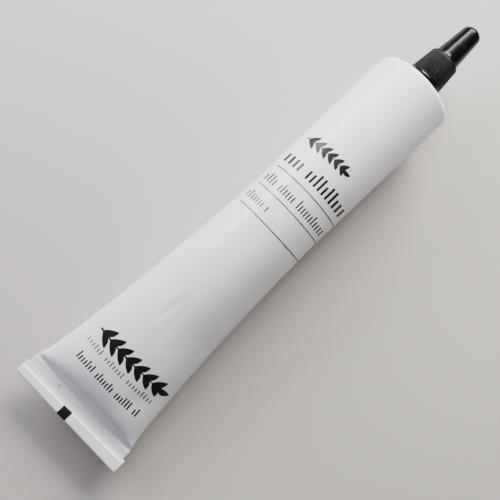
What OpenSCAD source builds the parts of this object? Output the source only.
// Collapsible aluminium adhesive tube with a folded tail and a long-nosed screw cap.
// The tube lies on a table: +X runs along it towards the cap and +Z is up.
// The origin is on the table, under the middle of the whole length.

/* [Tube] */
// Outer diameter of the round part of the tube
tube_d = 25; // [20:0.5:32]
// Length from the folded tail to the corner of the shoulder
body_l = 137.5; // [112:0.5:180]
// Thickness of the sleeve's aluminium sheet
wall = 0.15; // [0.12:0.01:0.2]
// Length over which the round part flattens into the tail
taper_l = 81; // [60:1:97]
// Length of the swelling next to the flat strip that draws the sides in at once
pinch_l = 3.6; // [2.5:0.1:5]
// Length in which the sheet bends up out of the flat strip
valley_l = 2.6; // [2:0.1:4]
// Rise of the tail's middle plane for each mm towards the shoulder
tail_rise = 0.035; // [0.02:0.005:0.05]
// Softness of the bend where the underside comes down onto the table
settle_h = 0.6; // [0.3:0.05:0.9]

/* [Folded tail] */
// Width of the rolled fold, along the tube
fold_l = 4.1; // [3.4:0.1:6]
// Thickness of the rolled fold
fold_t = 1.3; // [1.1:0.05:1.6]
// How far each end of the fold is spread past the flattened sleeve
fold_spread = 0.9; // [0.4:0.1:1.2]
// Height of the flat strip's middle above the table
tail_z = 8.5; // [6:0.1:10.5]
// Length of the flat strip between the fold and the swollen part
strip_l = 3; // [2:0.1:4]
// Thickness of the flat strip over both sheets and the seal
strip_t = 0.5; // [0.45:0.01:0.6]

/* [Shoulder and nozzle] */
// Slope of the conical shoulder against a flat face, in degrees
shoulder_angle = 20; // [14:1:26]
// Radius of the shoulder's rounded corner
rim_r = 1.5; // [1:0.1:2]
// Length of the stiff round band behind the corner
band_l = 2; // [1.8:0.1:3]
// Thickness of the shoulder
shoulder_t = 0.8; // [0.6:0.05:1]
// Width of the flat seat round the foot of the neck
seat_w = 1.7; // [1.4:0.1:2]
// Outer diameter of the neck's thread
thread_d = 7.6; // [6.3:0.1:9.2]
// Pitch of the thread
pitch = 1.5; // [1.25:0.05:1.8]
// Depth of the thread
thread_h = 0.5; // [0.4:0.05:0.6]
// Height of the threaded neck above its seat
neck_l = 8.4; // [7:0.1:10.1]
// Width of the ring on the neck's end that the liner seals against
land_w = 0.8; // [0.7:0.05:1]
// Length of the nozzle beyond the neck
nozzle_l = 11.1; // [9:0.1:13.5]
// Outer diameter of the nozzle's tip
tip_d = 3.2; // [2.6:0.1:3.6]
// Thickness of the nozzle
nozzle_t = 0.6; // [0.5:0.05:0.7]

/* [Cap] */
// Thickness of the cap's skirt at its open end
skirt_t = 1.6; // [1.4:0.05:1.9]
// Drop in the skirt's radius from its open end to its top
skirt_taper = 0.85; // [0.5:0.05:0.9]
// Height of the plain band at the open end
band_h = 1.1; // [0.8:0.1:1.5]
// Number of grip ribs
rib_count = 40; // [24:1:44]
// Height of each rib over the skirt
rib_h = 0.2; // [0.15:0.01:0.25]
// Thickness of the cap's nose
nose_t = 0.95; // [0.8:0.05:1.2]
// Thickness of the plastic over the end of the nose
nose_end_t = 1.6; // [1.4:0.1:2]
// Length of the rounded end of the nose
dome_l = 2.2; // [1.8:0.1:2.4]
// Thickness of the sealing liner
liner_t = 0.7; // [0.5:0.05:0.9]

/* [Fits] */
// Gap between the two threads, and between the liner and the cap
thread_gap = 0.1; // [0.08:0.01:0.15]
// Gap under the open end of the closed cap
seat_gap = 0.15; // [0.1:0.01:0.3]
// Gap between the nozzle and the inside of the nose
nose_gap = 0.5; // [0.35:0.05:0.6]
// Gap beyond the nozzle's tip
tip_gap = 0.75; // [0.5:0.05:1]
// How far the cap's plug reaches into the nozzle
plug_in = 1; // [0.6:0.1:1.4]
// Gap round the plug
plug_gap = 0.05; // [0.03:0.01:0.08]
// Gap between the sleeve and what it holds
fill_gap = 0.04; // [0.03:0.01:0.06]

/* [Contents] */
// Height of the adhesive's level surface above the table
fill_level = 16.5; // [15:0.5:19]

/* [Hidden] */

enamel = "whitesmoke";
plastic = [0.08, 0.08, 0.09];

// Facets round the sleeve, with one flat facet on the table
sides = 48;
// Rings of points along the taper
taper_rings = 20;
// Facets in one turn of a thread
turn_facets = 48;
// A little extra for a cut that must pass right through a face
through = 1;
// How deep a raised feature is rooted in its wall
root_in = 0.3;
// Exponents that shape the even taper, the bend out of the strip and the change to a square section
taper_power = 1.5;
valley_power = 1.4;
square_power = 8;

tube_r = tube_d / 2;
// Half the width of the sleeve where it is pressed flat: a quarter of its girth
flat_r = PI * tube_d / 4;
// Exponent that keeps the girth the same from round to flat
girth_p = ln(2) / ln(PI / 2);
// Share of the taper that is the long even part, against the pinch beside the strip
even_share = 0.86;
// Squareness of the section in the flat strip
strip_square = 6;

// Places along the tube, counted from the folded end
strip_end = fold_l + strip_l;
round_start = strip_end + taper_l;
sleeve_end = body_l - band_l;

// The shoulder and nozzle, counted from the shoulder's corner
neck_r = thread_d / 2 - thread_h;
seat_r = neck_r + seat_w;
seat_x = (tube_r - seat_r) * tan(shoulder_angle);
nozzle_r = neck_r - land_w;
tip_r = tip_d / 2;
neck_end = seat_x + neck_l;
nozzle_end = neck_end + nozzle_l;

// The cap, counted from its open end
cap_bore_r = thread_d / 2 + thread_gap;
skirt_r = cap_bore_r + skirt_t;
skirt_top_r = skirt_r - skirt_taper;
ledge_x = neck_l - seat_gap + liner_t;
// Plastic over the liner, under the step to the nose
ledge_t = 0.45;
skirt_l = ledge_x + ledge_t;
nose_in_r = nozzle_r + nose_gap;
nose_in_end_r = tip_r + nose_gap;
nose_end = neck_l + nozzle_l - seat_gap + tip_gap;
cap_l = nose_end + nose_end_t;
nose_r = nose_in_r + nose_t;
dome_r = nose_in_end_r + nose_t;
plug_r = tip_r - nozzle_t - plug_gap;

// The whole tube, with its middle at x = 0
total_l = body_l + seat_x + seat_gap + cap_l;
tail_x = -total_l / 2;
corner_x = tail_x + body_l;
cap_x = corner_x + seat_x + seat_gap;

// Middle of the first ridge of the neck's thread, above the seat
thread_start = pitch * 0.75;
// Width of a ridge at its root and at its crest
ridge_root_w = pitch * 0.62;
ridge_crest_w = pitch * 0.24;
// Share of its height that a ridge has at its very ends
ridge_end = 0.04;
// Turns of thread on the neck and in the cap
neck_turns = floor((neck_l - thread_start - pitch / 2) / pitch * 4) / 4;
cap_turns = neck_turns - 0.5;

// ---- Sections of the sleeve ----

// 0 below -soft, v above soft, and a smooth bend in between
function above_zero(v, soft) = v <= -soft ? 0 : v >= soft ? v : pow(v + soft, 2) / (4 * soft);

// Half the width of the sleeve at a distance d from the folded end
function half_w(d) =
    d <= strip_end ? flat_r :
    d >= round_start ? tube_r :
    let (even = pow((round_start - d) / taper_l, taper_power))
    let (pinch = exp((strip_end - d) / pinch_l))
    tube_r + (flat_r - tube_r) * (even_share * even + (1 - even_share) * pinch);

// Half the height that leaves the girth as it was
function full_h(d) = pow(max(0, pow(flat_r, girth_p) - pow(half_w(d), girth_p)), 1 / girth_p);

// Half the height, eased out of the flat strip
function half_h(d) =
    d <= strip_end ? strip_t / 2 :
    let (grown = 1 - exp(-pow((d - strip_end) / valley_l, valley_power)))
    strip_t / 2 + max(0, full_h(d) - strip_t / 2) * grown;

// Height of the sleeve's underside above the table
function under_z(d) =
    let (middle = tail_z + tail_rise * (max(strip_end, min(d, round_start)) - strip_end))
    above_zero(middle - half_h(d), settle_h);

// 2 gives an ellipse and more gives a squarer section
function squareness(d) = 2 + (strip_square - 2) * pow(1 - half_h(d) / tube_r, square_power);

// A power that keeps the sign of its base
function signed_pow(v, e) = sign(v) * pow(abs(v), e);

// One ring of points round the sleeve, set in from its outside
function ring(d, inset) =
    let (
        e = 2 / squareness(d),
        spread = 1 / cos(180 / sides),
        w = (half_w(d) - inset) * spread,
        h = (half_h(d) - inset) * spread,
        mid = under_z(d) + half_h(d)
    )
    [for (i = [0:sides - 1])
        let (a = (i + 0.5) * 360 / sides)
        [tail_x + d, w * signed_pow(cos(a), e), mid + h * signed_pow(sin(a), e)]];

// Distances of the rings along the taper, closest next to the flat strip
function taper_stops(last) = [for (i = [1:last]) strip_end + taper_l * pow(i / taper_rings, 2)];

// Two triangles for each facet between one ring and the next
function band_faces(k, start, flip) = [
    for (i = [0:sides - 1])
        let (j = (i + 1) % sides)
        let (a = start + k * sides + i, b = start + k * sides + j)
        let (c = b + sides, e = a + sides)
        each flip ? [[a, c, b], [a, e, c]] : [[a, b, c], [a, c, e]]
];

// A closed solid through rings at the given stops
module filled_loft(stops, inset) {
    points = [for (d = stops) each ring(d, inset)];
    n = len(stops);
    faces = [
        [for (i = [0:sides - 1]) i],
        for (k = [0:n - 2]) each band_faces(k, 0, true),
        [for (i = [1:sides]) n * sides - i]
    ];
    polyhedron(points, faces, convexity = 6);
}

// An open sleeve of the given thickness through rings at the given stops
module open_loft(stops, thickness) {
    n = len(stops);
    skin = n * sides;
    points = [for (d = stops) each ring(d, 0), for (d = stops) each ring(d, thickness)];
    faces = [
        for (k = [0:n - 2]) each band_faces(k, 0, true),
        for (k = [0:n - 2]) each band_faces(k, skin, false),
        for (i = [0:sides - 1])
            let (j = (i + 1) % sides)
            each [[i, j, skin + j], [i, skin + j, skin + i]],
        for (i = [0:sides - 1])
            let (j = (i + 1) % sides, o = (n - 1) * sides)
            each [[o + i, skin + o + j, o + j], [o + i, skin + o + i, skin + o + j]]
    ];
    polyhedron(points, faces, convexity = 8);
}

// ---- Round pieces and threads ----

// Stands a piece that is drawn up the Z axis along the tube's axis at x
module along_tube(x) {
    translate([x, 0, tube_r])
        rotate([0, 90, 0])
            children();
}

// A ridge that winds up the Z axis. Its section is wide at base_r and narrow at crest_r,
// and it fades to nothing over the first and last quarter turn.
module thread_ridge(base_r, crest_r, base_w, crest_w, from_z, turns) {
    steps = round(turns * turn_facets);
    fade = turn_facets / 4;
    outward = crest_r > base_r;
    points = [
        for (i = [0:steps])
            let (
                a = i * 360 / turn_facets,
                z = from_z + pitch * i / turn_facets,
                grown = max(ridge_end, min(1, i / fade, (steps - i) / fade)),
                r = base_r + (crest_r - base_r) * grown
            )
            each [
                [base_r * cos(a), base_r * sin(a), z - base_w / 2],
                [r * cos(a), r * sin(a), z - crest_w / 2],
                [r * cos(a), r * sin(a), z + crest_w / 2],
                [base_r * cos(a), base_r * sin(a), z + base_w / 2]
            ]
    ];
    sides_of_ridge = [
        for (i = [0:steps - 1], k = [0:3])
            let (a = 4 * i + k, b = 4 * i + (k + 1) % 4)
            each [[a, b, b + 4], [a, b + 4, a + 4]]
    ];
    last = 4 * steps;
    faces = concat(sides_of_ridge, [[0, 3, 2, 1], [last, last + 1, last + 2, last + 3]]);
    turned_over = [for (f = faces) [for (i = [1:len(f)]) f[len(f) - i]]];
    polyhedron(points, outward ? faces : turned_over, convexity = 10);
}

// ---- Sub-parts ----

// The thin sleeve, from the fold to the stiff band behind the shoulder
module tube_sleeve() {
    stops = [fold_l, strip_end, each taper_stops(taper_rings), sleeve_end];
    color(enamel)
        open_loft(stops, wall);
}

// The end of the flattened sleeve, folded over and over again into three double layers
module tail_fold() {
    layer = fold_t / 3;
    slit = 0.06;
    bend_r = fold_t / 2;
    color(enamel)
        translate([tail_x, flat_r + fold_spread, tail_z - strip_t / 2])
            rotate([90, 0, 0])
                linear_extrude(2 * (flat_r + fold_spread))
                    difference() {
                        union() {
                            translate([bend_r, bend_r])
                                circle(bend_r, $fn = 32);
                            translate([bend_r, 0])
                                square([fold_l - bend_r - layer, fold_t]);
                            translate([bend_r, 0])
                                square([fold_l - bend_r, layer]);
                            translate([fold_l - layer, 2 * layer])
                                circle(layer, $fn = 32);
                        }
                        translate([layer, layer - slit / 2])
                            square([fold_l, slit]);
                        translate([layer, layer - slit / 2])
                            square([slit, layer + slit]);
                        translate([layer, 2 * layer - slit / 2])
                            square([fold_l - 2 * layer, slit]);
                    }
}

// The stiff end of the tube: band, shoulder, threaded neck and nozzle
module shoulder_nozzle() {
    // Where the rounded corner leaves the band and where it meets the cone
    corner_back = rim_r * tan((90 - shoulder_angle) / 2);
    inner_r = tube_r - wall;
    slope = tan(shoulder_angle);
    // The inside of the cone lies shoulder_t below its outside
    inner_drop = shoulder_t / cos(shoulder_angle);
    bore_r = nozzle_r - nozzle_t;
    tip_bore_r = tip_r - nozzle_t;
    color(enamel) {
        along_tube(corner_x) {
            rotate_extrude($fn = 96)
                polygon([
                    [inner_r, -band_l],
                    [tube_r, -band_l],
                    [tube_r, -corner_back],
                    for (a = [10:10:90 - shoulder_angle])
                        [tube_r - rim_r + rim_r * cos(a), -corner_back + rim_r * sin(a)],
                    [seat_r, seat_x],
                    [neck_r, seat_x],
                    [neck_r, neck_end],
                    [nozzle_r, neck_end],
                    [tip_r, nozzle_end],
                    [tip_bore_r, nozzle_end],
                    [bore_r, neck_end],
                    [bore_r, (tube_r - bore_r) * slope - inner_drop],
                    [inner_r, wall * slope - inner_drop]
                ]);
            thread_ridge(
                base_r = neck_r - root_in,
                crest_r = neck_r + thread_h,
                base_w = ridge_root_w,
                crest_w = ridge_crest_w,
                from_z = seat_x + thread_start,
                turns = neck_turns
            );
        }
    }
}

// The latex lining that seals the flat strip between its two sheets
module end_seal() {
    color("tan")
        filled_loft([fold_l + fill_gap, strip_end], wall + fill_gap / 2);
}

// The adhesive, settled level with a space above it
module adhesive() {
    inset = wall + fill_gap;
    slope = tan(shoulder_angle);
    inner_drop = shoulder_t / cos(shoulder_angle) + fill_gap;
    column_r = nozzle_r - nozzle_t - fill_gap;
    // The lining's latex fills the taper where it is thinner than this
    least_h = 3 * inset;
    stops = [each [for (d = taper_stops(taper_rings)) if (half_h(d) > least_h) d], sleeve_end];
    color([0.85, 0.8, 0.62]) {
        intersection() {
            filled_loft(stops, inset);
            translate([-total_l, -tube_d, 0])
                cube([2 * total_l, 2 * tube_d, fill_level]);
        }
        intersection() {
            along_tube(corner_x)
                rotate_extrude($fn = 96)
                    polygon([
                        [0, -band_l],
                        [tube_r - inset, -band_l],
                        [tube_r - inset, inset * slope - inner_drop],
                        [column_r, (tube_r - column_r) * slope - inner_drop],
                        [column_r, neck_end],
                        [tip_r - nozzle_t - fill_gap, nozzle_end - plug_in - tip_gap],
                        [0, nozzle_end - plug_in - tip_gap]
                    ]);
            translate([-total_l, -tube_d, 0])
                cube([2 * total_l, 2 * tube_d, fill_level]);
        }
    }
}

// The soft ring in the cap that seals on the end of the neck
module cap_liner() {
    color("gainsboro")
        along_tube(corner_x + neck_end)
            difference() {
                cylinder(h = liner_t, r = cap_bore_r - thread_gap, $fn = 64);
                translate([0, 0, -through])
                    cylinder(h = liner_t + 2 * through, r = nozzle_r + 2 * thread_gap, $fn = 64);
            }
}

// The screw cap: ribbed skirt, long nose, inner thread and the plug for the nozzle
module cap() {
    // Each rib is a thin round bar, sunk a little past its middle
    rib_r = rib_h * 1.2;
    rib_lean = atan2(skirt_taper, skirt_l - band_h);
    color(plastic) {
        along_tube(cap_x) {
            difference() {
                union() {
                    rotate_extrude($fn = 96)
                        polygon([
                            [0, 0],
                            [skirt_r, 0],
                            [skirt_r, band_h],
                            [skirt_r - rib_h, band_h + rib_h],
                            [skirt_top_r - rib_h, skirt_l - rib_h],
                            [skirt_top_r - 2 * rib_h, skirt_l],
                            [nose_r, skirt_l],
                            [dome_r, cap_l - dome_l],
                            for (a = [10:10:90])
                                [dome_r * cos(a), cap_l - dome_l + dome_l * sin(a)]
                        ]);
                    for (i = [0:rib_count - 1])
                        rotate([0, 0, i * 360 / rib_count])
                            translate([skirt_r - rib_h, 0, band_h])
                                rotate([0, -rib_lean, 0])
                                    cylinder(h = skirt_l - band_h - 2 * rib_h, r = rib_r, $fn = 16);
                }
                translate([0, 0, -through])
                    cylinder(h = through + ledge_x, r = cap_bore_r, $fn = 96);
                translate([0, 0, ledge_x - root_in])
                    cylinder(
                        h = nose_end - ledge_x + root_in,
                        r1 = nose_in_r,
                        r2 = nose_in_end_r,
                        $fn = 96
                    );
            }
            translate([0, 0, nose_end - tip_gap - plug_in])
                cylinder(h = tip_gap + plug_in + root_in, r = plug_r, $fn = 48);
            thread_ridge(
                base_r = cap_bore_r + root_in,
                crest_r = cap_bore_r - thread_h,
                base_w = ridge_root_w,
                crest_w = ridge_crest_w,
                from_z = thread_start + pitch / 2 - seat_gap,
                turns = cap_turns
            );
        }
    }
}

tube_sleeve();
tail_fold();
shoulder_nozzle();
end_seal();
adhesive();
cap_liner();
cap();
